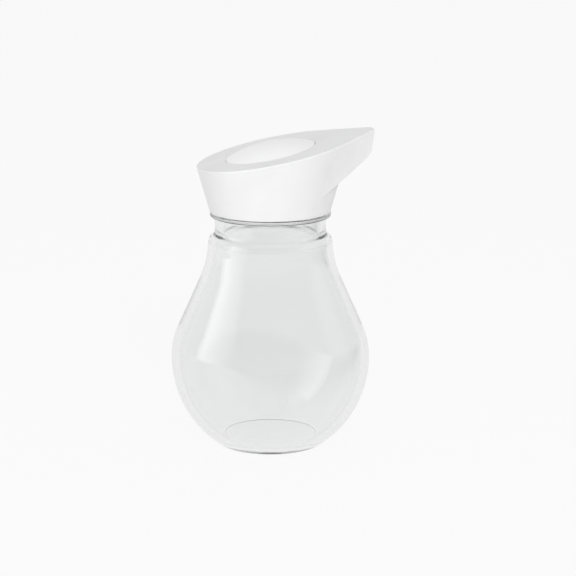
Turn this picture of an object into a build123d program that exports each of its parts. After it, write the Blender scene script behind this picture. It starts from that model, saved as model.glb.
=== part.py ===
from build123d import *
from math import acos, asin, atan2, cos, degrees, hypot, radians, sin, sqrt, tan
import os

# Oil dispenser bottle: a small glass jar under a white cap with a beak.
# Row frame: Z up, origin in the middle of the foot, beak along +X, millimetres.

# Glass outside, from the foot up
FOOT_WIDTH = 1.1
FOOT_HEEL_ROUND = 0.7
PUNT_DEPTH = 0.3
BELLY_R = 28.3
BELLY_Z = 25.0
BOWL_ROUND = 30.3
BELLY_UPPER_ROUND = 22.0
FLANK_ANGLE = 24.2
WAIST_ROUND = 25.7
NECK_LEAN = 5.7
NECK_LENGTH = 3.4
SHOULDER_STEP = 1.74
SHOULDER_RISE = 1.4
SHOULDER_ROUND = 1.8
GROOVE_DEPTH = 1.4
GROOVE_HEIGHT = 4.89
BEAD_THICK = 1.0
BEAD_ROUND = 0.35

# Glass inside
BELLY_WALL = 2.4
NECK_WALL = 2.0
GROOVE_WALL = 2.45
FLOOR_THICK = 1.9
FLOOR_ROUND = 1.6
FINISH_WALL = 1.3
INNER_SHOULDER_ROUND = 2.2
THROAT_DROP = 0.3
THROAT_RISE = 1.9
THROAT_ROUND = 2.0

# Threaded finish of the glass
FINISH_R = 13.8
FINISH_HEIGHT = 4.95
FINISH_ROUND = 0.4
THREAD_PITCH = 2.6
THREAD_DEPTH = 0.85
THREAD_ROOT_WIDTH = 1.2
THREAD_CREST_WIDTH = 0.6
THREAD_SINK = 0.25
THREAD_START = 1.4
COLLAR_THREAD_START = 1.0
THREAD_GAP = 0.3

# Cap outside
RIM_GAP = 0.3
RIM_OVERHANG = 0.03
CAP_FLARE = 0.285
CAP_HEIGHT = 16.9
CAP_TILT = 11.4
BEAK_X = 29.4
BEAK_HALF_WIDTH = 2.3
BEAK_FACE_LEAN = 10.5
BEAK_CORNER_ROUND = 1.0
BEAK_CHIN_ROUND = 1.4
UNDERCUT_FOOT_X = 8.77
UNDERCUT_ROUND = 6.5
UNDERCUT_SLOPE = 33.0
COLLAR_WALL_STEP = 0.25
CAP_EDGE_ROUND = 0.2
RIM_EDGE_ROUND = 0.2

# Cap walls
CAP_WALL = 1.2
CAP_LIP = 0.45
PLATE_THICK = 1.5
PLATE_GAP = 0.05
LEDGE_THICK = 1.0
LEDGE_OPENING_R = 14.2
BEAK_SOLID_LENGTH = 5.4
BEAK_FLOOR = 1.4

# Collar and deck
COLLAR_WALL = 0.9
COLLAR_FIT = 0.13
COLLAR_RIM_RECESS = 0.2
COLLAR_SEAT_HEIGHT = 1.6
GASKET_THICK = 1.1
GASKET_SIDE_GAP = 0.2
DECK_THICK = 1.4
SEAL_THICK = 0.7
SEAL_WIDTH = 1.3
SPRING_PAD_R = 5.3
SPRING_PAD_RISE = 1.2
GUIDE_R = 2.2
GUIDE_GAP = 0.95
SEAT_DROP = 1.3
SEAT_MARGIN = 0.8
PORT_R = 0.75
PORT_GAP = 0.1
PORT_COUNT = 6

# Button, on the axis of the tilted top
BUTTON_R = 12.75
BUTTON_GAP = 0.1
BUTTON_TRAVEL = 2.5
DOME_HEIGHT = 2.6
DOME_WALL = 1.4
DOME_EDGE_ROUND = 0.2
HOLE_EDGE_ROUND = 0.15
SKIRT_WALL = 1.4
STOP_GAP = 0.05
STOP_FLANGE_WIDTH = 1.1
STOP_FLANGE_THICK = 1.0
SPRING_SEAT_R = 5.6
STEM_BOSS_R = 2.6
STEM_BOSS_DROP = 2.6
STEM_ENGAGE = 0.6

# Valve
STEM_R = 1.25
STEM_CLEARANCE = 0.08
STEM_HEAD_R = 2.4
STEM_HEAD_THICK = 0.8
DISC_LAP = 0.8
DISC_THICK = 1.2

# Return spring
SPRING_WIRE_R = 0.25
SPRING_COIL_R = 4.4
SPRING_TURNS = 6

# Boot, its rib and its clamp
BOOT_THICK = 0.6
BOOT_INSET = 0.4
RIB_CLEARANCE = 0.7
RIB_WALL = 1.6
CLAMP_WALL = 0.6
CLAMP_FLOOR = 1.0

# Outlet
SPOUT_DROP = 4.5
SPOUT_R = 1.5
SPOUT_BORE_R = 1.0
SPOUT_FLANGE_R = 1.7
SPOUT_FLANGE_THICK = 0.8

# Air valve
AIR_VALVE_GAP = 1.0
AIR_STEM_R = 0.8
AIR_BULB_R = 1.2
AIR_DISC_R = 2.2
AIR_DISC_THICK = 0.6
AIR_HOLE_R = 0.35
AIR_HOLE_GAP = 0.3
AIR_HOLE_COUNT = 3
AIR_HOLE_TURN = 60.0

# How far a cutting shape runs past what it cuts
OVERCUT = 1.0

# Radii that follow: the finish sets the collar, the collar the cap's rim, the rim the bead and neck
BORE_R = FINISH_R - FINISH_WALL
COLLAR_ROOT_R = FINISH_R + THREAD_DEPTH + THREAD_GAP
COLLAR_R = COLLAR_ROOT_R + COLLAR_WALL
RIM_R = COLLAR_R + COLLAR_FIT + CAP_WALL
BEAD_R = RIM_R - RIM_OVERHANG
GROOVE_R = BEAD_R - GROOVE_DEPTH
SHOULDER_R = GROOVE_R + SHOULDER_STEP
STOP_FLANGE_R = BUTTON_R + STOP_FLANGE_WIDTH
RIB_INNER_R = STOP_FLANGE_R + RIB_CLEARANCE
RIB_OUTER_R = RIB_INNER_R + RIB_WALL
SKIRT_INNER_R = BUTTON_R - SKIRT_WALL
BOOT_INNER_R = SKIRT_INNER_R + BOOT_INSET
PORT_CIRCLE_R = GUIDE_R + PORT_GAP + PORT_R
DISC_R = PORT_CIRCLE_R + PORT_R + DISC_LAP
SEAT_R = DISC_R + SEAT_MARGIN
AIR_VALVE_X = AIR_VALVE_GAP + AIR_DISC_R - BORE_R
AIR_HOLE_CIRCLE_R = AIR_STEM_R + AIR_HOLE_GAP + AIR_HOLE_R

# Centres and joints of the jar's outer curve; the straight flank is as long as belly and neck need
flank = radians(FLANK_ANGLE)
lean = radians(NECK_LEAN)
flank_out = Vector(cos(flank), sin(flank))
flank_up = Vector(-sin(flank), cos(flank))
neck_out = Vector(cos(lean), sin(lean))
neck_up = Vector(-sin(lean), cos(lean))
bowl_centre = Vector(BELLY_R - BOWL_ROUND, BELLY_Z)
upper_centre = Vector(BELLY_R - BELLY_UPPER_ROUND, BELLY_Z)
flank_low = upper_centre + flank_out * BELLY_UPPER_ROUND
neck_reach = (flank_out - neck_out) * WAIST_ROUND + neck_up * NECK_LENGTH
FLANK_LENGTH = (flank_low.X + neck_reach.X - SHOULDER_R) / sin(flank)
flank_top = flank_low + flank_up * FLANK_LENGTH
waist_centre = flank_top + flank_out * WAIST_ROUND
neck_low = waist_centre - neck_out * WAIST_ROUND
shoulder = neck_low + neck_up * NECK_LENGTH

# Levels that follow
GROOVE_LOW_Z = shoulder.Y + SHOULDER_RISE
BEAD_LOW_Z = GROOVE_LOW_Z + GROOVE_HEIGHT
BEAD_TOP_Z = BEAD_LOW_Z + BEAD_THICK
FINISH_TOP_Z = BEAD_TOP_Z + FINISH_HEIGHT
RIM_Z = BEAD_TOP_Z + RIM_GAP
GLASS_THREAD_Z = BEAD_TOP_Z + THREAD_START
COLLAR_THREAD_Z = RIM_Z + COLLAR_THREAD_START
DECK_LOW_Z = FINISH_TOP_Z + GASKET_THICK
DECK_TOP_Z = DECK_LOW_Z + DECK_THICK
LEDGE_LOW_Z = DECK_TOP_Z + SEAL_THICK
LEDGE_TOP_Z = LEDGE_LOW_Z + LEDGE_THICK
CAP_TOP_Z = RIM_Z + CAP_HEIGHT
BEAK_Z = CAP_TOP_Z + tan(radians(CAP_TILT)) * BEAK_X
COLUMN_TOP_Z = BEAK_Z + RIM_GAP + DOME_HEIGHT

# Plane of the slanted top: its local Z is the button's axis
top_plane = Plane(
    origin=(0, 0, CAP_TOP_Z),
    x_dir=(cos(radians(CAP_TILT)), 0, sin(radians(CAP_TILT))),
    z_dir=(-sin(radians(CAP_TILT)), 0, cos(radians(CAP_TILT))),
)
DEPTH_PER_RISE = 1 / cos(radians(CAP_TILT))
DECK_TOP_S = -(CAP_TOP_Z - DECK_TOP_Z) * DEPTH_PER_RISE
DECK_LOW_S = -(CAP_TOP_Z - DECK_LOW_Z) * DEPTH_PER_RISE
SPRING_LOW_S = DECK_TOP_S + SPRING_PAD_RISE
GUIDE_TOP_S = -STEM_BOSS_DROP - BUTTON_TRAVEL - GUIDE_GAP
SEAT_S = DECK_LOW_S - SEAT_DROP
STEM_HEAD_S = SEAT_S - DISC_THICK
FLANGE_TOP_S = -PLATE_THICK - STOP_GAP
FLANGE_LOW_S = FLANGE_TOP_S - STOP_FLANGE_THICK
BOOT_LOW_S = FLANGE_LOW_S - BOOT_THICK


def cap_radius(z):
    """Radius of the cap's outer cone at height z."""
    return RIM_R + CAP_FLARE * (z - RIM_Z)


def ring(outer, inner, low, high):
    """Plain ring about local Z, or a disc where inner is 0."""
    body = Pos(0, 0, low) * Cylinder(outer, high - low, align=(Align.CENTER, Align.CENTER, Align.MIN))
    if inner > 0:
        body -= Pos(0, 0, low) * Cylinder(inner, high - low, align=(Align.CENTER, Align.CENTER, Align.MIN))
    return body


def round_corner(profile, x, z, radius):
    """Round the profile's corner nearest to (x, z)."""
    corner = profile.vertices().sort_by_distance((x, 0, z))[0]
    return fillet(corner, radius)


def screw_ridge(root_r, depth, start_z, start_angle):
    """One turn of thread; a negative depth points inwards."""
    outwards = 1 if depth > 0 else -1
    root_half = THREAD_ROOT_WIDTH / 2
    crest_half = THREAD_CREST_WIDTH / 2
    sink = -THREAD_SINK * outwards
    profile = Plane.XZ * make_face(
        Polyline(
            (root_r + sink, -root_half),
            (root_r + sink, root_half),
            (root_r, root_half),
            (root_r + depth, crest_half),
            (root_r + depth, -crest_half),
            (root_r, -root_half),
            close=True,
        )
    )
    path = Helix(THREAD_PITCH, THREAD_PITCH, root_r)
    ridge = sweep(profile, path, is_frenet=True)
    return Pos(0, 0, start_z) * Rot(0, 0, start_angle) * ridge


def glass_outline():
    """Outside and inside of the jar as one closed profile in the XZ plane."""
    foot_angle = degrees(asin(-BELLY_Z / BOWL_ROUND))
    foot_r = bowl_centre.X + BOWL_ROUND * cos(radians(foot_angle))
    hollow_r = foot_r - FOOT_WIDTH

    inner_bowl = BOWL_ROUND - BELLY_WALL
    inner_upper = BELLY_UPPER_ROUND - BELLY_WALL
    inner_waist = WAIST_ROUND + NECK_WALL
    across = waist_centre - upper_centre
    inner_flank = atan2(across.Y, across.X) - acos((inner_upper + inner_waist) / across.length)
    inner_out = Vector(cos(inner_flank), sin(inner_flank))
    inner_flank_angle = degrees(inner_flank)
    inner_neck = waist_centre - neck_out * inner_waist

    step_slope = SHOULDER_RISE / SHOULDER_STEP
    step_base_z = shoulder.Y + step_slope * shoulder.X - NECK_WALL * hypot(1, step_slope)
    step_r = inner_neck.X - tan(lean) * (step_base_z - inner_neck.Y)
    step_r /= 1 - tan(lean) * step_slope
    inner_groove_r = GROOVE_R - GROOVE_WALL
    step_low_z = step_base_z - step_slope * step_r
    step_top_z = step_base_z - step_slope * inner_groove_r
    throat_low_z = BEAD_LOW_Z - THROAT_DROP
    throat_top_z = throat_low_z + THROAT_RISE
    floor_angle = degrees(asin((FLOOR_THICK - BELLY_Z) / inner_bowl))
    floor_r = bowl_centre.X + inner_bowl * cos(radians(floor_angle))

    edges = [
        Line((0, PUNT_DEPTH), (hollow_r - PUNT_DEPTH, PUNT_DEPTH)),
        Line((hollow_r - PUNT_DEPTH, PUNT_DEPTH), (hollow_r, 0)),
        Line((hollow_r, 0), (foot_r, 0)),
        CenterArc(bowl_centre, BOWL_ROUND, foot_angle, -foot_angle),
        CenterArc(upper_centre, BELLY_UPPER_ROUND, 0, FLANK_ANGLE),
        Line(flank_low, flank_top),
        CenterArc(waist_centre, WAIST_ROUND, 180 + FLANK_ANGLE, NECK_LEAN - FLANK_ANGLE),
        Polyline(
            neck_low,
            shoulder,
            (GROOVE_R, GROOVE_LOW_Z),
            (GROOVE_R, BEAD_LOW_Z),
            (BEAD_R, BEAD_LOW_Z),
            (BEAD_R, BEAD_TOP_Z),
            (FINISH_R, BEAD_TOP_Z),
            (FINISH_R, FINISH_TOP_Z),
            (BORE_R, FINISH_TOP_Z),
            (BORE_R, throat_top_z),
            (inner_groove_r, throat_low_z),
            (inner_groove_r, step_top_z),
            (step_r, step_low_z),
            inner_neck,
        ),
        CenterArc(waist_centre, inner_waist, 180 + NECK_LEAN, inner_flank_angle - NECK_LEAN),
        Line(waist_centre - inner_out * inner_waist, upper_centre + inner_out * inner_upper),
        CenterArc(upper_centre, inner_upper, inner_flank_angle, -inner_flank_angle),
        CenterArc(bowl_centre, inner_bowl, 0, floor_angle),
        Line((floor_r, FLOOR_THICK), (0, FLOOR_THICK)),
        Line((0, FLOOR_THICK), (0, PUNT_DEPTH)),
    ]
    profile = Plane.XZ * make_face(edges)
    profile = round_corner(profile, foot_r, 0, FOOT_HEEL_ROUND)
    profile = round_corner(profile, shoulder.X, shoulder.Y, SHOULDER_ROUND)
    profile = round_corner(profile, GROOVE_R, GROOVE_LOW_Z, SHOULDER_ROUND)
    profile = round_corner(profile, BEAD_R, BEAD_LOW_Z, BEAD_ROUND)
    profile = round_corner(profile, BEAD_R, BEAD_TOP_Z, BEAD_ROUND)
    profile = round_corner(profile, FINISH_R, FINISH_TOP_Z, FINISH_ROUND)
    profile = round_corner(profile, BORE_R, FINISH_TOP_Z, FINISH_ROUND)
    profile = round_corner(profile, BORE_R, throat_top_z, THROAT_ROUND)
    profile = round_corner(profile, inner_groove_r, throat_low_z, THROAT_ROUND)
    profile = round_corner(profile, inner_groove_r, step_top_z, INNER_SHOULDER_ROUND)
    profile = round_corner(profile, step_r, step_low_z, INNER_SHOULDER_ROUND)
    profile = round_corner(profile, floor_r, FLOOR_THICK, FLOOR_ROUND)
    return profile


def glass_bottle():
    """Jar with one turn of thread on its finish."""
    jar = revolve(glass_outline(), Axis.Z)
    return jar + screw_ridge(FINISH_R, THREAD_DEPTH, GLASS_THREAD_Z, 0)


def teardrop(z, inset, tip_inset, corner_round):
    """Section of the cap at height z: a circle drawn out to the beak by two tangents."""
    outer = cap_radius(z)
    touch_angle = acos(outer / hypot(BEAK_X, BEAK_HALF_WIDTH)) + atan2(BEAK_HALF_WIDTH, BEAK_X)
    radius = outer - inset
    tip_x = BEAK_X - tip_inset
    tip_half = (radius - tip_x * cos(touch_angle)) / sin(touch_angle)
    touch = (radius * cos(touch_angle), radius * sin(touch_angle))
    touch_deg = degrees(touch_angle)
    edges = [
        CenterArc((0, 0), radius, touch_deg, 360 - 2 * touch_deg),
        Line((touch[0], -touch[1]), (tip_x, -tip_half)),
        Line((tip_x, -tip_half), (tip_x, tip_half)),
        Line((tip_x, tip_half), touch),
    ]
    section = make_face(edges)
    if corner_round > 0:
        section = fillet(section.vertices().sort_by(Axis.X)[-2:], corner_round)
    return Pos(0, 0, z) * section


def teardrop_column(low, inset, tip_inset, corner_round):
    """Cap shape from a level up past the slanted top, all walls moved in by inset."""
    low_section = teardrop(low, inset, tip_inset, corner_round)
    top_section = teardrop(COLUMN_TOP_Z, inset, tip_inset, corner_round)
    return loft([low_section, top_section], ruled=True)


def above_top(depth):
    """Everything over a plane that lies a depth below the slanted top."""
    side = 4 * BEAK_X
    block = Box(side, side, side, align=(Align.CENTER, Align.CENTER, Align.MIN))
    return top_plane * Pos(0, 0, -depth) * block


def roof_edges(rise):
    """Roof of the undercut as far as its straight stretch, and where that stretch starts."""
    turn = radians(90 - UNDERCUT_SLOPE)
    base_z = RIM_Z + rise / cos(radians(UNDERCUT_SLOPE))
    foot = Vector(UNDERCUT_FOOT_X, base_z)
    middle = foot + Vector(1 - cos(turn / 2), sin(turn / 2)) * UNDERCUT_ROUND
    straight = foot + Vector(1 - cos(turn), sin(turn)) * UNDERCUT_ROUND
    below = Vector(UNDERCUT_FOOT_X, RIM_Z - CAP_WALL)
    return [Line(below, foot), ThreePointArc(foot, middle, straight)], straight


def beak_front():
    """Space under and in front of the beak, as a block across the cap."""
    edges, straight = roof_edges(0)
    slope = tan(radians(UNDERCUT_SLOPE))
    face_lean = tan(radians(BEAK_FACE_LEAN))
    drop = (BEAK_Z - straight.Y - slope * (BEAK_X - straight.X)) / (1 - slope * face_lean)
    chin = Vector(BEAK_X - face_lean * drop, BEAK_Z - drop)
    over = Vector(BEAK_X + face_lean * CAP_WALL, BEAK_Z + CAP_WALL)
    edges += [
        Polyline(
            straight,
            chin,
            over,
            (BEAK_X + BEAK_SOLID_LENGTH, BEAK_Z + CAP_WALL),
            (BEAK_X + BEAK_SOLID_LENGTH, RIM_Z - CAP_WALL),
            (UNDERCUT_FOOT_X, RIM_Z - CAP_WALL),
        ),
    ]
    profile = round_corner(Plane.XZ * make_face(edges), chin.X, chin.Y, BEAK_CHIN_ROUND)
    return extrude(profile, 2 * RIM_R, both=True)


def under_beak_floor():
    """Space that the hollow of the beak stays clear of."""
    edges, straight = roof_edges(BEAK_FLOOR)
    far_x = BEAK_X + BEAK_SOLID_LENGTH
    far_z = straight.Y + tan(radians(UNDERCUT_SLOPE)) * (far_x - straight.X)
    low_z = RIM_Z - CAP_WALL
    edges += [Polyline(straight, (far_x, far_z), (far_x, low_z), (UNDERCUT_FOOT_X, low_z))]
    return extrude(Plane.XZ * make_face(edges), 2 * RIM_R, both=True)


def cap_cone(low, high, inset):
    """Solid cone of the cap between two levels, moved in by inset."""
    section = Polyline(
        (0, low),
        (cap_radius(low) - inset, low),
        (cap_radius(high) - inset, high),
        (0, high),
        close=True,
    )
    return revolve(Plane.XZ * make_face(section), Axis.Z)


def cap_outside():
    """Solid outer shape of the cap."""
    column = teardrop_column(RIM_Z, 0, 0, BEAK_CORNER_ROUND)
    column -= above_top(0)
    column -= beak_front() - cap_cone(RIM_Z - 2 * CAP_WALL, BEAK_Z, COLLAR_WALL_STEP)
    rim_edges = column.faces().sort_by(Axis.Z)[0].edges().filter_by(GeomType.CIRCLE)
    column = fillet(rim_edges, RIM_EDGE_ROUND)
    top_face = column.faces().sort_by(Axis((0, 0, 0), top_plane.z_dir))[-1]
    return fillet(top_face.edges(), CAP_EDGE_ROUND)


def spout_axis():
    """Plane on the inside of the beak's solid end, its Z pointing out of the beak."""
    return Plane(origin=(BEAK_X - BEAK_SOLID_LENGTH, 0, BEAK_Z - SPOUT_DROP), z_dir=(1, 0, 0))


def cap_body():
    """Wall of the cap with its beak, ledge and outlet hole."""
    body = cap_outside()
    body -= cap_cone(RIM_Z - OVERCUT, LEDGE_LOW_Z, CAP_WALL)
    body -= ring(LEDGE_OPENING_R, 0, LEDGE_LOW_Z - OVERCUT, LEDGE_TOP_Z + OVERCUT)
    hollow = teardrop_column(LEDGE_TOP_Z, CAP_WALL, BEAK_SOLID_LENGTH, 0) - above_top(PLATE_THICK)
    hollow -= under_beak_floor()
    body -= hollow
    lip_round = BEAK_CORNER_ROUND - CAP_LIP
    body -= teardrop_column(LEDGE_TOP_Z, CAP_LIP, CAP_LIP, lip_round) & above_top(PLATE_THICK)
    body -= spout_axis() * ring(SPOUT_R, 0, -SPOUT_FLANGE_THICK, BEAK_SOLID_LENGTH + OVERCUT)
    return body


def top_plate():
    """Slanted plate with the button's hole and the rib that the boot hangs from."""
    inset = CAP_LIP + PLATE_GAP
    outline = teardrop_column(LEDGE_TOP_Z, inset, inset, BEAK_CORNER_ROUND - inset)
    plate = (outline & above_top(PLATE_THICK)) - above_top(0)
    plate -= top_plane * ring(BUTTON_R + BUTTON_GAP, 0, -PLATE_THICK - OVERCUT, OVERCUT)
    hole_edges = plate.edges().filter_by(GeomType.CIRCLE)
    plate = fillet(hole_edges.sort_by(Axis((0, 0, 0), top_plane.z_dir))[-1], HOLE_EDGE_ROUND)
    return plate + top_plane * ring(RIB_OUTER_R, RIB_INNER_R, FLANGE_LOW_S, -PLATE_THICK)


def threaded_collar():
    """Ring with an inside thread, closed by the deck that carries the valve seat."""
    low = RIM_Z + COLLAR_RIM_RECESS
    seat_top = low + COLLAR_SEAT_HEIGHT
    collar = ring(COLLAR_R, COLLAR_ROOT_R, low, DECK_LOW_Z) + ring(COLLAR_R, 0, DECK_LOW_Z, DECK_TOP_Z)
    cap_seat = cap_cone(low, seat_top, CAP_WALL)
    collar += cap_seat - ring(COLLAR_R - COLLAR_WALL / 2, 0, low - OVERCUT, seat_top + OVERCUT)
    half_turn = (GLASS_THREAD_Z - THREAD_PITCH / 2 - COLLAR_THREAD_Z) / THREAD_PITCH
    start_angle = -360 * half_turn
    collar += screw_ridge(COLLAR_ROOT_R, -THREAD_DEPTH, COLLAR_THREAD_Z, start_angle)

    below_deck = ring(COLLAR_R, 0, low, DECK_LOW_Z)
    above_deck = ring(COLLAR_R, 0, DECK_TOP_Z, CAP_TOP_Z)
    collar += top_plane * ring(SPRING_PAD_R, 0, DECK_LOW_S, SPRING_LOW_S) - below_deck
    collar += top_plane * ring(SEAT_R, 0, SEAT_S, DECK_TOP_S) - above_deck
    collar += top_plane * ring(GUIDE_R, 0, SPRING_LOW_S, GUIDE_TOP_S)
    collar -= top_plane * ring(STEM_R + STEM_CLEARANCE, 0, SEAT_S - OVERCUT, GUIDE_TOP_S + OVERCUT)
    for port in PolarLocations(PORT_CIRCLE_R, PORT_COUNT):
        collar -= top_plane * port * ring(PORT_R, 0, SEAT_S - OVERCUT, SPRING_LOW_S + OVERCUT)

    air_cut = (DECK_LOW_Z - OVERCUT, DECK_TOP_Z + OVERCUT)
    collar -= Pos(AIR_VALVE_X, 0, 0) * ring(AIR_STEM_R, 0, *air_cut)
    for hole in PolarLocations(AIR_HOLE_CIRCLE_R, AIR_HOLE_COUNT, AIR_HOLE_TURN):
        collar -= Pos(AIR_VALVE_X, 0, 0) * hole * ring(AIR_HOLE_R, 0, *air_cut)
    return collar


def neck_gasket():
    """Flat ring on the rim of the glass."""
    return ring(COLLAR_ROOT_R - GASKET_SIDE_GAP, BORE_R + GASKET_SIDE_GAP, FINISH_TOP_Z, DECK_LOW_Z)


def chamber_seal():
    """Flat ring between the collar and the ledge in the cap."""
    return ring(LEDGE_OPENING_R + SEAL_WIDTH, LEDGE_OPENING_R, DECK_TOP_Z, LEDGE_LOW_Z)


def push_button():
    """Domed button with a skirt, a stop flange, a spring seat and a boss for the stem."""
    dome_round = (BUTTON_R ** 2 + DOME_HEIGHT ** 2) / (2 * DOME_HEIGHT)
    centre_s = DOME_HEIGHT - dome_round
    inner_round = dome_round - DOME_WALL

    def outer_s(radius):
        return centre_s + sqrt(dome_round ** 2 - radius ** 2)

    def inner_s(radius):
        return centre_s + sqrt(inner_round ** 2 - radius ** 2)

    middle = (SKIRT_INNER_R + SPRING_SEAT_R) / 2
    edges = [
        ThreePointArc((0, DOME_HEIGHT), (BUTTON_R / 2, outer_s(BUTTON_R / 2)), (BUTTON_R, 0)),
        Polyline(
            (BUTTON_R, 0),
            (BUTTON_R, FLANGE_TOP_S),
            (STOP_FLANGE_R, FLANGE_TOP_S),
            (STOP_FLANGE_R, FLANGE_LOW_S),
            (SKIRT_INNER_R, FLANGE_LOW_S),
            (SKIRT_INNER_R, inner_s(SKIRT_INNER_R)),
        ),
        ThreePointArc(
            (SKIRT_INNER_R, inner_s(SKIRT_INNER_R)),
            (middle, inner_s(middle)),
            (SPRING_SEAT_R, inner_s(SPRING_SEAT_R)),
        ),
        Polyline(
            (SPRING_SEAT_R, inner_s(SPRING_SEAT_R)),
            (SPRING_SEAT_R, 0),
            (STEM_BOSS_R, 0),
            (STEM_BOSS_R, -STEM_BOSS_DROP),
            (STEM_R, -STEM_BOSS_DROP),
            (STEM_R, STEM_ENGAGE),
            (0, STEM_ENGAGE),
            (0, DOME_HEIGHT),
        ),
    ]
    profile = round_corner(Plane.XZ * make_face(edges), BUTTON_R, 0, DOME_EDGE_ROUND)
    return top_plane * revolve(profile, Axis.Z)


def valve_stem():
    """Pin from the button down through the deck, with a head below."""
    stem = ring(STEM_R, 0, STEM_HEAD_S, STEM_ENGAGE)
    return top_plane * (stem + ring(STEM_HEAD_R, 0, STEM_HEAD_S - STEM_HEAD_THICK, STEM_HEAD_S))


def valve_disc():
    """Soft disc that closes the ports from below."""
    return top_plane * ring(DISC_R, STEM_R, STEM_HEAD_S, SEAT_S)


def return_spring():
    """Round-wire spring between the deck and the button."""
    height = -SPRING_LOW_S - 2 * SPRING_WIRE_R
    path = Helix(height / SPRING_TURNS, height, SPRING_COIL_R)
    wire = Plane(origin=path @ 0, z_dir=path % 0) * Circle(SPRING_WIRE_R)
    return top_plane * Pos(0, 0, SPRING_LOW_S + SPRING_WIRE_R) * sweep(wire, path, is_frenet=True)


def button_boot():
    """Thin diaphragm under the button's flange, held at its outer edge."""
    return top_plane * ring(RIB_OUTER_R, BOOT_INNER_R, BOOT_LOW_S, FLANGE_LOW_S)


def boot_clamp_ring():
    """Ring that wraps the rib and holds the boot against it."""
    outer = RIB_OUTER_R + CLAMP_WALL
    clamp = ring(outer, RIB_INNER_R, BOOT_LOW_S - CLAMP_FLOOR, -PLATE_THICK)
    return top_plane * (clamp - ring(RIB_OUTER_R, 0, BOOT_LOW_S, 0))


def spout_insert():
    """Outlet tube in the beak, its end cut flush with the beak's face."""
    tube = ring(SPOUT_R, SPOUT_BORE_R, 0, BEAK_SOLID_LENGTH + OVERCUT)
    tube += ring(SPOUT_FLANGE_R, SPOUT_BORE_R, -SPOUT_FLANGE_THICK, 0)
    return spout_axis() * tube - beak_front()


def air_valve():
    """Umbrella valve under the deck, held by a bulb above it."""
    valve = ring(AIR_DISC_R, 0, DECK_LOW_Z - AIR_DISC_THICK, DECK_LOW_Z)
    valve += ring(AIR_STEM_R, 0, DECK_LOW_Z, DECK_TOP_Z)
    valve += ring(AIR_BULB_R, 0, DECK_TOP_Z, DECK_TOP_Z + AIR_DISC_THICK)
    return Pos(AIR_VALVE_X, 0, 0) * valve


PIECES = {
    "glass_bottle": glass_bottle,
    "neck_gasket": neck_gasket,
    "cap_body": cap_body,
    "top_plate": top_plate,
    "threaded_collar": threaded_collar,
    "chamber_seal": chamber_seal,
    "spout_insert": spout_insert,
    "boot_clamp_ring": boot_clamp_ring,
    "button_boot": button_boot,
    "push_button": push_button,
    "return_spring": return_spring,
    "valve_stem": valve_stem,
    "valve_disc": valve_disc,
    "air_valve": air_valve,
}

os.makedirs("parts", exist_ok=True)
for name, make in PIECES.items():
    shape = make()
    box = shape.bounding_box()
    print(name, round(shape.volume, 1), [round(v, 2) for v in (*box.min, *box.max)])
    export_step(shape, "parts/" + name + ".step")
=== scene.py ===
from math import acos, atan2, ceil, cos, degrees, hypot, pi, radians, sin, sqrt, tan

import bpy
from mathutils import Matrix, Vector


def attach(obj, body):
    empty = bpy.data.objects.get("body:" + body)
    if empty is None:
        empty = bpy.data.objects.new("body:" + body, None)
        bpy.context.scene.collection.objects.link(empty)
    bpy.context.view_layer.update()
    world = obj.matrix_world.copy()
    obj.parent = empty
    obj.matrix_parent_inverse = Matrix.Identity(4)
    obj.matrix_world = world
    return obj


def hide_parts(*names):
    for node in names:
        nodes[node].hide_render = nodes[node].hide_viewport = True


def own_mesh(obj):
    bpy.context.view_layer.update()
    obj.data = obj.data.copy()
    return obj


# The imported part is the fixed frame. Everything here is in metres, in the part's own frame.
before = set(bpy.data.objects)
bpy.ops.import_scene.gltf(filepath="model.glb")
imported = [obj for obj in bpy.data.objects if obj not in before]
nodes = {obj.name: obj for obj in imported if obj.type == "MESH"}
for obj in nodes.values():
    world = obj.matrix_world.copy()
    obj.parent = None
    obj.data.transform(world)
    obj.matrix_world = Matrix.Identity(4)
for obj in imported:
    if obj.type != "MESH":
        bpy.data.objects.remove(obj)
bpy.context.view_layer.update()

# Camera: the photograph's place and angle, found from the bottle's outline
CAMERA_PLACE = (-0.0924, -0.5916, 0.1803)
CAMERA_PITCH = 12.75
CAMERA_TURN = 8.87
CAMERA_LENS = 134.8
CAMERA_SENSOR = 36.0
CAMERA_SHIFT = 0.031
CAMERA_NEAR = 0.01

# Backdrop, as the camera shows it and as it is seen through the glass
BACKGROUND = 0.956

# Room in reflections: a level at the walls and one at the ceiling. It changes between two
# heights, which are the upward share of a ray's direction.
WALL_SEEN = 0.35
CEILING_SEEN = 0.12
WALL_TOP = 0.05
CEILING_START = 0.55

# Reflected rays that go backwards see paler walls beside the bottle, and then the backdrop.
# Start and full are the backward share of a ray's direction.
SIDE_SEEN = 0.52
SIDE_START = -0.35
SIDE_FULL = 0.05
BEHIND_FULL = 0.85

# Even light that the room casts on surfaces
WALL_LIGHT = 1.02
CEILING_LIGHT = 0.50

# Floor: paper colour and glow as they light the object, and as they are seen. It lies this
# little above the foot's flat, so that no thin gap of air mirrors under the glass.
FLOOR_COLOUR = 0.62
FLOOR_GLOW = 0.15
SEEN_FLOOR_COLOUR = 0.07
SEEN_FLOOR_GLOW = 0.900
FLOOR_RADIUS = 6.0
FLOOR_SIDES = 128
FLOOR_GIVE = 0.00005

# Painted shadow of the bottle on the floor, seen only in reflections: the floor darkens to a
# level in one direction, over a reach in metres
PAINTED_SHADOW_TOWARDS = (0.55, -0.85, 0)
PAINTED_SHADOW_REACH = (0.020, 0.100)
PAINTED_SHADOW_LEVEL = 0.25

# Lamps: size, power, azimuth and elevation in degrees. Azimuth 0 is the camera's side.
LAMP_DISTANCE = 1.4
LAMP_AIM = Vector((0, 0, 0.05))
LAMPS = {
    "key_lamp": ((0.35, 0.35), 8.4, 0, 32),
    "left_fill": ((1.0, 1.0), 2.6, -66, 18),
}

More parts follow.
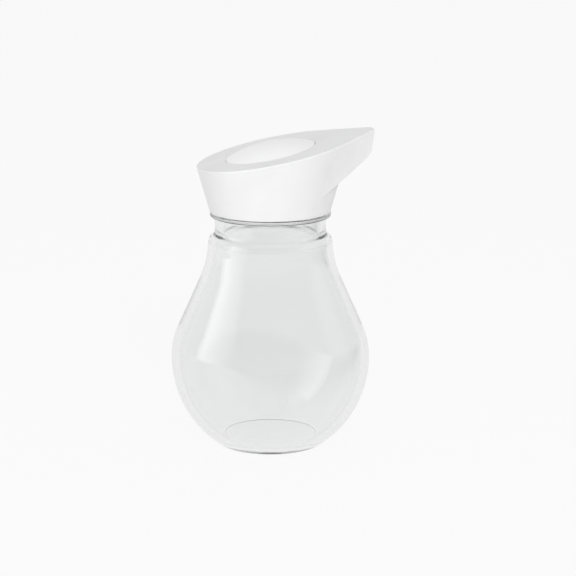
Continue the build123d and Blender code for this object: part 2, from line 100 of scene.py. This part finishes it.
# Glowing panels: azimuths, elevations, strength, and the brightness across the panel
PANEL_DISTANCE = 0.8
PANEL_AIM = Vector((0, 0, 0.04))
PANEL_STEPS = 12
PANELS = {
    "left_window": ((-103, -58), (-2, 48), 2.2, [(0, 1), (0.25, 1.0), (0.6, 0.6), (1, 0.25)]),
    "right_fill": ((58, 100), (4, 42), 0.7, [(0, 0.2), (0.35, 0.8), (0.7, 1.0), (1, 0.9)]),
}

# Glass: surface colour, refraction, slight clouds in the colour, and the colour that stays
# and the share per metre that goes on the way through it
GLASS_COLOUR = (0.977, 0.979, 0.979)
GLASS_IOR = 1.5
GLASS_CLOUD = 25
GLASS_CHANGE = 0.005
GLASS_DEPTH_COLOUR = (0, 0.02, 0.02, 1)
GLASS_ABSORBS = 20.0

# Light caught in the glass leaves it straight after this many bounces. Clear is the share
# that gets through then, lowered to paint a grey shade along the glass's rims and outline,
# and the share of lamp light that gets through.
LAST_BOUNCE = 5.5
LATE_CLEAR_PAINTED_SHADE = 0.78
SHADOW_CLEAR = 0.98

# Looks of plastic, silicone and steel: linear colour, roughness, grain size, grain depth
LOOKS = {
    "white_shell_look": ((0.88, 0.88, 0.88), 0.38, 0.0004, 0.00001),
    "top_plate_look": ((0.85, 0.85, 0.855), 0.55, 0.00025, 0.00002),
    "button_look": ((0.895, 0.895, 0.895), 0.30, 0.0005, 0.000008),
    "inner_plastic_look": ((0.82, 0.82, 0.81), 0.45, 0.0005, 0.00001),
    "silicone_look": ((0.80, 0.80, 0.79), 0.55, 0.0006, 0.00001),
    "spring_steel_look": ((0.58, 0.58, 0.60), 0.25, 0.0003, 0.000004),
}
CLOUD_SCALE = 60
CLOUD_CHANGE = 0.03
SMEAR_SCALE = 180
SMEAR_CHANGE = 0.05
GRAIN_STRENGTH = 0.25
RAMP_ENDS = (0.3, 0.7)
WHITE = (1, 1, 1, 1)

# The button's way down, and a reach under the boot
PRESS_AXIS = Vector((0.197657, 0, -0.980271))
BOOT_REACH = 0.025


def link(tree, source, target):
    """Joins two sockets of a node tree."""
    tree.links.new(source, target)


def feed(tree, value, socket):
    """Sets a socket to a number, or joins another socket to it."""
    if isinstance(value, float):
        socket.default_value = value
    else:
        link(tree, value, socket)


def empty_tree(owner):
    """Node tree of a material or world, with nothing in it."""
    owner.use_nodes = True
    owner.node_tree.nodes.clear()
    return owner.node_tree


def maths(tree, operation, first, second):
    """Sum or comparison of two values; each a number or a socket."""
    node = tree.nodes.new("ShaderNodeMath")
    node.operation = operation
    feed(tree, first, node.inputs[0])
    feed(tree, second, node.inputs[1])
    return node.outputs[0]


def noise(tree, scale, detail, place):
    """Noise in the part's own metres."""
    texture = tree.nodes.new("ShaderNodeTexNoise")
    texture.inputs["Scale"].default_value = scale
    texture.inputs["Detail"].default_value = detail
    link(tree, place.outputs["Object"], texture.inputs["Vector"])
    return texture.outputs["Fac"]


def tinted(tree, factor, colour, change):
    """The colour, a little darker or lighter with the factor."""
    node = tree.nodes.new("ShaderNodeValToRGB")
    levels = (1 - change, 1 + change)
    for element, at, level in zip(node.color_ramp.elements, RAMP_ENDS, levels):
        element.position = at
        element.color = (*(min(1.0, c * level) for c in colour), 1)
    link(tree, factor, node.inputs["Fac"])
    return node.outputs["Color"]


def choose(tree, factor, off, on):
    """One of two levels by a 0 or 1; each a number or a socket."""
    node = tree.nodes.new("ShaderNodeMix")
    link(tree, factor, node.inputs["Factor"])
    feed(tree, off, node.inputs["A"])
    feed(tree, on, node.inputs["B"])
    return node.outputs["Result"]


def span(tree, source, start, levels):
    """Smooth change of a level between two values of the source."""
    node = tree.nodes.new("ShaderNodeMapRange")
    node.interpolation_type = "SMOOTHSTEP"
    node.inputs["From Min"].default_value, node.inputs["From Max"].default_value = start
    node.inputs["To Min"].default_value, node.inputs["To Max"].default_value = levels
    link(tree, source, node.inputs["Value"])
    return node.outputs["Result"]


def glow(tree, level):
    """White glow of a level."""
    light = tree.nodes.new("ShaderNodeEmission")
    light.inputs["Color"].default_value = WHITE
    link(tree, level, light.inputs["Strength"])
    return light.outputs[0]


def unreflected(tree, path):
    """1 where a ray has met no mirroring face yet: seen directly or clear through the glass."""
    return maths(tree, "LESS_THAN", path.outputs["Glossy Depth"], 0.5)


def put(name, data):
    """New object in the scene."""
    obj = bpy.data.objects.new(name, data)
    bpy.context.scene.collection.objects.link(obj)
    return obj


def new_material(name):
    """Material with its output and a Principled shader."""
    material = bpy.data.materials.new(name)
    tree = empty_tree(material)
    output = tree.nodes.new("ShaderNodeOutputMaterial")
    shader = tree.nodes.new("ShaderNodeBsdfPrincipled")
    link(tree, shader.outputs["BSDF"], output.inputs["Surface"])
    return material, tree, shader, output


def moulded(name, metallic=0.0):
    """Faint cloudy colour, uneven gloss and the fine grain that a steel mould leaves."""
    colour, roughness, grain_size, grain_depth = LOOKS[name]
    material, tree, shader, _ = new_material(name)
    shader.inputs["Metallic"].default_value = metallic
    place = tree.nodes.new("ShaderNodeTexCoord")
    cloud = noise(tree, CLOUD_SCALE, 3, place)
    link(tree, tinted(tree, cloud, colour, CLOUD_CHANGE), shader.inputs["Base Color"])

    gloss = tree.nodes.new("ShaderNodeMapRange")
    gloss.inputs["To Min"].default_value = roughness - SMEAR_CHANGE
    gloss.inputs["To Max"].default_value = roughness + SMEAR_CHANGE
    link(tree, noise(tree, SMEAR_SCALE, 4, place), gloss.inputs["Value"])
    link(tree, gloss.outputs["Result"], shader.inputs["Roughness"])

    bump = tree.nodes.new("ShaderNodeBump")
    bump.inputs["Strength"].default_value = GRAIN_STRENGTH
    bump.inputs["Distance"].default_value = grain_depth
    link(tree, noise(tree, 1 / grain_size, 2, place), bump.inputs["Height"])
    link(tree, bump.outputs["Normal"], shader.inputs["Normal"])
    return material


def clear_glass():
    """Pressed and blown glass: clear, with very slight clouds in its colour."""
    material, tree, shader, output = new_material("clear_glass_look")
    shader.inputs["Transmission Weight"].default_value = 1.0
    shader.inputs["IOR"].default_value = GLASS_IOR
    shader.inputs["Roughness"].default_value = 0.0
    place = tree.nodes.new("ShaderNodeTexCoord")
    cloud = noise(tree, GLASS_CLOUD, 2, place)
    link(tree, tinted(tree, cloud, GLASS_COLOUR, GLASS_CHANGE), shader.inputs["Base Color"])

    # Lamp light passes the glass, so that what is inside and under it is lit, and light
    # caught between its faces leaves it straight after some bounces
    path = tree.nodes.new("ShaderNodeLightPath")
    late = maths(tree, "GREATER_THAN", path.outputs["Ray Depth"], LAST_BOUNCE)
    clear = tree.nodes.new("ShaderNodeBsdfTransparent")
    # Light leaving late is dimmed below 1: a painted grey shade on the glass's rims and outline
    link(tree, choose(tree, late, SHADOW_CLEAR, LATE_CLEAR_PAINTED_SHADE), clear.inputs["Color"])
    mix = tree.nodes.new("ShaderNodeMixShader")
    passes = maths(tree, "MAXIMUM", path.outputs["Is Shadow Ray"], late)
    link(tree, passes, mix.inputs["Fac"])
    link(tree, shader.outputs["BSDF"], mix.inputs[1])
    link(tree, clear.outputs["BSDF"], mix.inputs[2])
    link(tree, mix.outputs[0], output.inputs["Surface"])

    depth = tree.nodes.new("ShaderNodeVolumeAbsorption")
    depth.inputs["Color"].default_value = GLASS_DEPTH_COLOUR
    depth.inputs["Density"].default_value = GLASS_ABSORBS
    link(tree, depth.outputs["Volume"], output.inputs["Volume"])
    return material


def dress(names, material):
    """Gives CAD nodes a material."""
    for name in names:
        node = nodes[name]
        node.data.materials.clear()
        node.data.materials.append(material)


def give_way(name, node, material, reach=None):
    """Copy of a CAD node with its own mesh and a material, in place of the node, moving with
    the cap.

    The reach is not used.
    """
    piece = put(name, nodes[node].data.copy())
    piece.matrix_world = nodes[node].matrix_world
    piece.data.materials.clear()
    piece.data.materials.append(material)
    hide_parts(node)
    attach(piece, "cap")

    depths = [PRESS_AXIS.dot(piece.matrix_world @ v.co) for v in piece.data.vertices]
    reach = reach or max(depths) - min(depths)
    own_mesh(piece)


# The jar's sizes, in millimetres, as in the part; the foot is at 0
BELLY_R = 28.3
BELLY_Z = 25.0
BOWL_ROUND = 30.3
BELLY_UPPER_ROUND = 22.0
FLANK_ANGLE = 24.2
WAIST_ROUND = 25.7
NECK_LEAN = 5.7
NECK_LENGTH = 3.4
SHOULDER_R = 17.49
SHOULDER_RISE = 1.4
SHOULDER_ROUND = 1.8
GROOVE_R = 15.75
GROOVE_HEIGHT = 4.89
BEAD_R = 17.15
BEAD_THICK = 1.0
BEAD_ROUND = 0.35
FINISH_R = 13.8
FINISH_HEIGHT = 4.95
FINISH_ROUND = 0.4
FOOT_WIDTH = 1.1
FOOT_HEEL_ROUND = 0.7
PUNT_DEPTH = 0.3
BELLY_WALL = 2.4
NECK_WALL = 2.0
GROOVE_WALL = 2.45
FLOOR_THICK = 1.9
FLOOR_ROUND = 1.6
BORE_R = 12.5
INNER_SHOULDER_ROUND = 2.2
THROAT_DROP = 0.3
THROAT_RISE = 1.9
THROAT_ROUND = 2.0
SMALL_ROUND = 0.25
THREAD_PITCH = 2.6
THREAD_DEPTH = 0.85
THREAD_ROOT_HALF = 0.6
THREAD_CREST_HALF = 0.3
THREAD_START = 1.4
THREAD_RUN_OUT = 9.0

# How finely the jar is turned: rows over the thread, steps in a turn, degrees in an arc,
# steps in a corner, and the small distances by which points and the thread's slope are told
THREAD_ROWS = 36
TURN_STEPS = 288
ARC_STEP = 1.6
CORNER_STEPS = 7
SAME_POINT = 1e-4
ON_AXIS = 1e-6
SLOPE_STEP = 0.01
MM = 1000


def heading(angle):
    """Unit vector at an angle."""
    return Vector((cos(angle), sin(angle)))


def left_of(direction):
    """The direction turned left by a quarter turn."""
    return Vector((-direction.y, direction.x))


def sweep(centre, radius, start, end):
    """Points of an arc, each with its direction of travel; angles in radians."""
    steps = max(2, ceil(abs(degrees(end - start)) / ARC_STEP))
    sign = 1 if end > start else -1
    points = []
    for k in range(steps + 1):
        angle = start + (end - start) * k / steps
        points.append((centre + radius * heading(angle), sign * left_of(heading(angle))))
    return points


def rounded(corners):
    """Polyline through (point, corner radius) pairs; the two ends stay as they are."""
    points = []
    for i in range(1, len(corners) - 1):
        at, radius = corners[i]
        into = (at - corners[i - 1][0]).normalized()
        out = (corners[i + 1][0] - at).normalized()
        if i == 1:
            points.append((corners[0][0], into))
        turn = atan2(into.x * out.y - into.y * out.x, into.dot(out))
        side = 1 if turn > 0 else -1
        start = at - into * radius * tan(abs(turn) / 2)
        centre = start + side * radius * left_of(into)
        first = atan2(into.y, into.x)
        for k in range(CORNER_STEPS + 1):
            direction = heading(first + turn * k / CORNER_STEPS)
            points.append((centre - side * radius * left_of(direction), direction))
        if i == len(corners) - 2:
            points.append((corners[-1][0], out))
    return points


def jar_profile():
    """Outline of the glass from the middle of its foot, up the outside and down the inside."""
    flank = radians(FLANK_ANGLE)
    lean = radians(NECK_LEAN)
    bowl = Vector((BELLY_R - BOWL_ROUND, BELLY_Z))
    upper = Vector((BELLY_R - BELLY_UPPER_ROUND, BELLY_Z))
    flank_low = upper + heading(flank) * BELLY_UPPER_ROUND
    neck_run = left_of(heading(lean)) * NECK_LENGTH
    reach = (heading(flank) - heading(lean)) * WAIST_ROUND + neck_run
    length = (flank_low.x + reach.x - SHOULDER_R) / sin(flank)
    waist = flank_low + left_of(heading(flank)) * length + heading(flank) * WAIST_ROUND
    neck = waist - heading(lean) * WAIST_ROUND
    shoulder = neck + neck_run
    groove_low = shoulder.y + SHOULDER_RISE
    bead_low = groove_low + GROOVE_HEIGHT
    bead_top = bead_low + BEAD_THICK
    top = bead_top + FINISH_HEIGHT

    # Foot: the heel's rounding touches the bowl from inside
    heel_z = FOOT_HEEL_ROUND
    heel_x = bowl.x + sqrt((BOWL_ROUND - FOOT_HEEL_ROUND) ** 2 - (heel_z - bowl.y) ** 2)
    heel_end = atan2(heel_z - bowl.y, heel_x - bowl.x)
    foot_r = bowl.x + sqrt(BOWL_ROUND ** 2 - bowl.y ** 2)
    hollow_r = foot_r - FOOT_WIDTH
    line = rounded([
        (Vector((0, PUNT_DEPTH)), 0),
        (Vector((hollow_r - PUNT_DEPTH, PUNT_DEPTH)), SMALL_ROUND),
        (Vector((hollow_r, 0)), SMALL_ROUND),
        (Vector((heel_x, 0)), 0),
    ])
    line += sweep(Vector((heel_x, heel_z)), FOOT_HEEL_ROUND, -pi / 2, heel_end)
    line += sweep(bowl, BOWL_ROUND, heel_end, 0)
    line += sweep(upper, BELLY_UPPER_ROUND, 0, flank)
    line += sweep(waist, WAIST_ROUND, pi + flank, pi + lean)
    throat_top = Vector((BORE_R, bead_low - THROAT_DROP + THROAT_RISE))
    line += rounded([
        (neck, 0),
        (shoulder, SHOULDER_ROUND),
        (Vector((GROOVE_R, groove_low)), SHOULDER_ROUND),
        (Vector((GROOVE_R, bead_low)), SMALL_ROUND),
        (Vector((BEAD_R, bead_low)), BEAD_ROUND),
        (Vector((BEAD_R, bead_top)), BEAD_ROUND),
        (Vector((FINISH_R, bead_top)), SMALL_ROUND),
        (Vector((FINISH_R, top)), FINISH_ROUND),
        (Vector((BORE_R, top)), FINISH_ROUND),
        (throat_top, 0),
    ])

    # Inside: the same curves moved in by the wall
    inner_bowl = BOWL_ROUND - BELLY_WALL
    inner_upper = BELLY_UPPER_ROUND - BELLY_WALL
    inner_waist = WAIST_ROUND + NECK_WALL
    across = waist - upper
    inside = atan2(across.y, across.x) - acos((inner_upper + inner_waist) / across.length)
    inner_neck = waist - heading(lean) * inner_waist
    slope = SHOULDER_RISE / (SHOULDER_R - GROOVE_R)
    base = shoulder.y + slope * shoulder.x - NECK_WALL * hypot(1, slope)
    step_r = (inner_neck.x - tan(lean) * (base - inner_neck.y)) / (1 - tan(lean) * slope)
    groove_r = GROOVE_R - GROOVE_WALL
    line += rounded([
        (Vector((BORE_R, top - 2 * FINISH_ROUND)), 0),
        (throat_top, THROAT_ROUND),
        (Vector((groove_r, bead_low - THROAT_DROP)), THROAT_ROUND),
        (Vector((groove_r, base - slope * groove_r)), INNER_SHOULDER_ROUND),
        (Vector((step_r, base - slope * step_r)), INNER_SHOULDER_ROUND),
        (inner_neck, 0),
    ])
    floor_z = FLOOR_THICK + FLOOR_ROUND
    floor_x = bowl.x + sqrt((inner_bowl - FLOOR_ROUND) ** 2 - (floor_z - bowl.y) ** 2)
    floor_end = atan2(floor_z - bowl.y, floor_x - bowl.x)
    line += sweep(waist, inner_waist, pi + lean, pi + inside)
    line += sweep(upper, inner_upper, inside, 0)
    line += sweep(bowl, inner_bowl, 0, floor_end)
    line += sweep(Vector((floor_x, floor_z)), FLOOR_ROUND, floor_end, -pi / 2)
    line.append((Vector((0, FLOOR_THICK)), Vector((-1, 0))))
    return line, bead_top


def jar_rows(line):
    """Rows of the lathe as (point, normal, threaded), close together over the thread."""
    rows = []
    for point, direction in line:
        last = rows[-1][0] if rows else None
        if last and (point - last).length < SAME_POINT:
            continue
        normal = -left_of(direction)
        if last and max(abs(last.x - FINISH_R), abs(point.x - FINISH_R)) < SAME_POINT:
            for k in range(1, THREAD_ROWS):
                z = last.y + (point.y - last.y) * k / THREAD_ROWS
                rows.append((Vector((FINISH_R, z)), normal, True))
        rows.append((point, normal, False))
    return rows


def thread_height(angle, z, bead_top):
    """How far the screw thread stands out of the finish at an angle and a height."""
    centre = bead_top + THREAD_START + THREAD_PITCH * angle / (2 * pi)
    flank = (THREAD_ROOT_HALF - abs(z - centre)) / (THREAD_ROOT_HALF - THREAD_CREST_HALF)
    end = min(degrees(angle), 360 - degrees(angle)) / THREAD_RUN_OUT
    end = min(1.0, max(0.0, end))
    return THREAD_DEPTH * min(1.0, max(0.0, flank)) * end * end * (3 - 2 * end)


def on_thread(angle, z, bead_top):
    """Radius and normal of the threaded finish at an angle and a height."""
    d = SLOPE_STEP
    radius = FINISH_R + thread_height(angle, z, bead_top)
    up = thread_height(angle, z + d, bead_top) - thread_height(angle, z - d, bead_top)
    turn = thread_height(angle + d, z, bead_top) - thread_height(angle - d, z, bead_top)
    up /= 2 * d
    turn /= 2 * d * radius
    c, s = cos(angle), sin(angle)
    return radius, Vector((c + turn * s, s - turn * c, -up)).normalized()


def ring_faces(low, high):
    """Faces between two rings of points; either may be a single point on the axis."""
    faces = []
    for i in range(TURN_STEPS):
        j = (i + 1) % TURN_STEPS
        if len(low) == 1:
            faces.append((low[0], high[j], high[i]))
        elif len(high) == 1:
            faces.append((low[i], low[j], high[0]))
        else:
            faces.append((low[i], low[j], high[j], high[i]))
    return faces


def make_jar():
    """Lathe of the jar's outline with exact normals, its thread worked in on the finish."""
    line, bead_top = jar_profile()
    vertices, normals, rings = [], [], []
    for point, normal, threaded in jar_rows(line):
        if point.x < ON_AXIS:
            rings.append([len(vertices)])
            vertices.append((0, 0, point.y / MM))
            normals.append((0, 0, 1 if normal.y > 0 else -1))
            continue
        rings.append(range(len(vertices), len(vertices) + TURN_STEPS))
        for i in range(TURN_STEPS):
            a = 2 * pi * i / TURN_STEPS
            radius = point.x
            out = Vector((normal.x * cos(a), normal.x * sin(a), normal.y))
            if threaded:
                radius, out = on_thread(a, point.y, bead_top)
            vertices.append((radius * cos(a) / MM, radius * sin(a) / MM, point.y / MM))
            normals.append(tuple(out))
    faces = []
    for low, high in zip(rings, rings[1:]):
        faces += ring_faces(low, high)
    mesh = bpy.data.meshes.new("jar")
    mesh.from_pydata(vertices, [], faces)
    mesh.polygons.foreach_set("use_smooth", [True] * len(faces))
    mesh.normals_split_custom_set_from_vertices(normals)
    jar = put("jar", mesh)
    jar.data.materials.append(clear_glass())
    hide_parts("glass_bottle")
    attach(jar, "bottle")


def make_camera():
    """Camera at the photograph's viewing angle."""
    data = bpy.data.cameras.new("camera")
    data.lens = CAMERA_LENS
    data.sensor_width = CAMERA_SENSOR
    data.shift_x = CAMERA_SHIFT
    data.clip_start = CAMERA_NEAR
    camera = put("camera", data)
    camera.location = CAMERA_PLACE
    camera.rotation_euler = (radians(90 - CAMERA_PITCH), 0, radians(-CAMERA_TURN))
    bpy.context.scene.camera = camera


def make_world():
    """White backdrop, a dimmer room in reflections and an even light on surfaces."""
    world = bpy.data.worlds.new("room")
    bpy.context.scene.world = world
    tree = empty_tree(world)
    place = tree.nodes.new("ShaderNodeTexCoord")
    way = tree.nodes.new("ShaderNodeSeparateXYZ")
    link(tree, place.outputs["Generated"], way.inputs[0])
    path = tree.nodes.new("ShaderNodeLightPath")
    walls = (WALL_TOP, CEILING_START)
    room = span(tree, way.outputs["Z"], walls, (WALL_SEEN, CEILING_SEEN))
    lighting = span(tree, way.outputs["Z"], walls, (WALL_LIGHT, CEILING_LIGHT))

    # Reflections see the room in front and the paler walls and backdrop further back; what
    # looks clear through the glass sees the backdrop all round
    behind = span(tree, way.outputs["Y"], (SIDE_FULL, BEHIND_FULL), (SIDE_SEEN, BACKGROUND))
    beside = span(tree, way.outputs["Y"], (SIDE_START, SIDE_FULL), (0.0, 1.0))
    reflected = choose(tree, beside, room, behind)
    seen = choose(tree, unreflected(tree, path), reflected, BACKGROUND)
    level = choose(tree, path.outputs["Is Diffuse Ray"], seen, lighting)
    level = choose(tree, path.outputs["Is Camera Ray"], level, BACKGROUND)

    output = tree.nodes.new("ShaderNodeOutputWorld")
    light = tree.nodes.new("ShaderNodeBackground")
    light.inputs["Color"].default_value = WHITE
    link(tree, level, light.inputs["Strength"])
    link(tree, light.outputs[0], output.inputs["Surface"])


def make_floor():
    """Round pale floor: bright and even where it is seen, plain paper to what it lights."""
    bpy.ops.mesh.primitive_circle_add(
        vertices=FLOOR_SIDES, radius=FLOOR_RADIUS, fill_type="NGON")
    floor = bpy.context.object
    floor.name = "floor"
    floor.location.z = FLOOR_GIVE
    material = bpy.data.materials.new("floor_paper")
    tree = empty_tree(material)
    path = tree.nodes.new("ShaderNodeLightPath")
    lighting = path.outputs["Is Diffuse Ray"]
    paper = tree.nodes.new("ShaderNodeBsdfDiffuse")
    colour = choose(tree, lighting, SEEN_FLOOR_COLOUR, FLOOR_COLOUR)
    link(tree, colour, paper.inputs["Color"])

    # Reflections see a painted shadow of the bottle: the floor darkens towards the front right
    place = tree.nodes.new("ShaderNodeTexCoord")
    away = tree.nodes.new("ShaderNodeVectorMath")
    away.operation = "DOT_PRODUCT"
    away.inputs[1].default_value = PAINTED_SHADOW_TOWARDS
    link(tree, place.outputs["Object"], away.inputs[0])
    painted_shadow = span(tree, away.outputs["Value"], PAINTED_SHADOW_REACH, (SEEN_FLOOR_GLOW, PAINTED_SHADOW_LEVEL))
    seen = choose(tree, unreflected(tree, path), painted_shadow, SEEN_FLOOR_GLOW)
    lift = glow(tree, choose(tree, lighting, seen, FLOOR_GLOW))

    both = tree.nodes.new("ShaderNodeAddShader")
    link(tree, paper.outputs[0], both.inputs[0])
    link(tree, lift, both.inputs[1])
    output = tree.nodes.new("ShaderNodeOutputMaterial")
    link(tree, both.outputs[0], output.inputs["Surface"])
    floor.data.materials.append(material)


def area_lamp(name, size, power, azimuth, elevation):
    """Soft lamp aimed at the middle of the bottle, which shows in no reflection."""
    data = bpy.data.lights.new(name, "AREA")
    data.shape = "RECTANGLE"
    data.size, data.size_y = size
    data.energy = power
    lamp = put(name, data)
    a, e = radians(azimuth), radians(elevation)
    away = Vector((sin(a) * cos(e), -cos(a) * cos(e), sin(e)))
    lamp.location = LAMP_AIM + LAMP_DISTANCE * away
    lamp.rotation_euler = (LAMP_AIM - lamp.location).to_track_quat("-Z", "Y").to_euler()
    lamp.visible_camera = False
    lamp.visible_glossy = False
    lamp.visible_transmission = False


def panel_mesh(name, azimuths, elevations):
    """Curved upright panel round the bottle, with a value across it from 0 to 1."""
    a0, a1 = (radians(x) for x in azimuths)
    vertices = []
    for elevation in elevations:
        for i in range(PANEL_STEPS + 1):
            a = a0 + (a1 - a0) * i / PANEL_STEPS
            out = Vector((sin(a), -cos(a), tan(radians(elevation))))
            vertices.append(tuple(PANEL_AIM + PANEL_DISTANCE * out))
    row = PANEL_STEPS + 1
    faces = [(i, i + 1, i + row + 1, i + row) for i in range(PANEL_STEPS)]
    mesh = bpy.data.meshes.new(name)
    mesh.from_pydata(vertices, [], faces)
    across = mesh.attributes.new("across", "FLOAT", "POINT")
    for k in range(len(vertices)):
        across.data[k].value = (k % row) / PANEL_STEPS
    return mesh


def softbox(name, azimuths, elevations, strength, fade):
    """Glowing panel that only shows as a highlight in glass and gloss."""
    panel = put(name, panel_mesh(name, azimuths, elevations))
    material = bpy.data.materials.new(name)
    tree = empty_tree(material)
    side = tree.nodes.new("ShaderNodeAttribute")
    side.attribute_name = "across"
    curve = tree.nodes.new("ShaderNodeValToRGB")
    while len(curve.color_ramp.elements) < len(fade):
        curve.color_ramp.elements.new(0.5)
    for element, (at, value) in zip(curve.color_ramp.elements, fade):
        element.position = at
        element.color = (value, value, value, 1)
    link(tree, side.outputs["Fac"], curve.inputs["Fac"])
    level = maths(tree, "MULTIPLY", curve.outputs["Color"], strength)
    output = tree.nodes.new("ShaderNodeOutputMaterial")
    link(tree, glow(tree, level), output.inputs["Surface"])
    panel.data.materials.append(material)
    panel.visible_camera = False
    panel.visible_diffuse = False
    panel.visible_shadow = False


dress(["cap_body"], moulded("white_shell_look"))
dress(["top_plate"], moulded("top_plate_look"))
dress(["push_button"], moulded("button_look"))
inner = moulded("inner_plastic_look")
dress(["threaded_collar", "spout_insert", "boot_clamp_ring", "valve_stem"], inner)
silicone = moulded("silicone_look")
dress(["neck_gasket", "chamber_seal", "valve_disc", "air_valve"], silicone)
steel = moulded("spring_steel_look", metallic=1.0)
give_way("coil_spring", "return_spring", steel)
give_way("soft_boot", "button_boot", silicone, BOOT_REACH)

make_jar()
make_camera()
make_world()
make_floor()
for name, settings in LAMPS.items():
    area_lamp(name, *settings)
for name, settings in PANELS.items():
    softbox(name, *settings)
bpy.context.scene.view_settings.view_transform = "Standard"
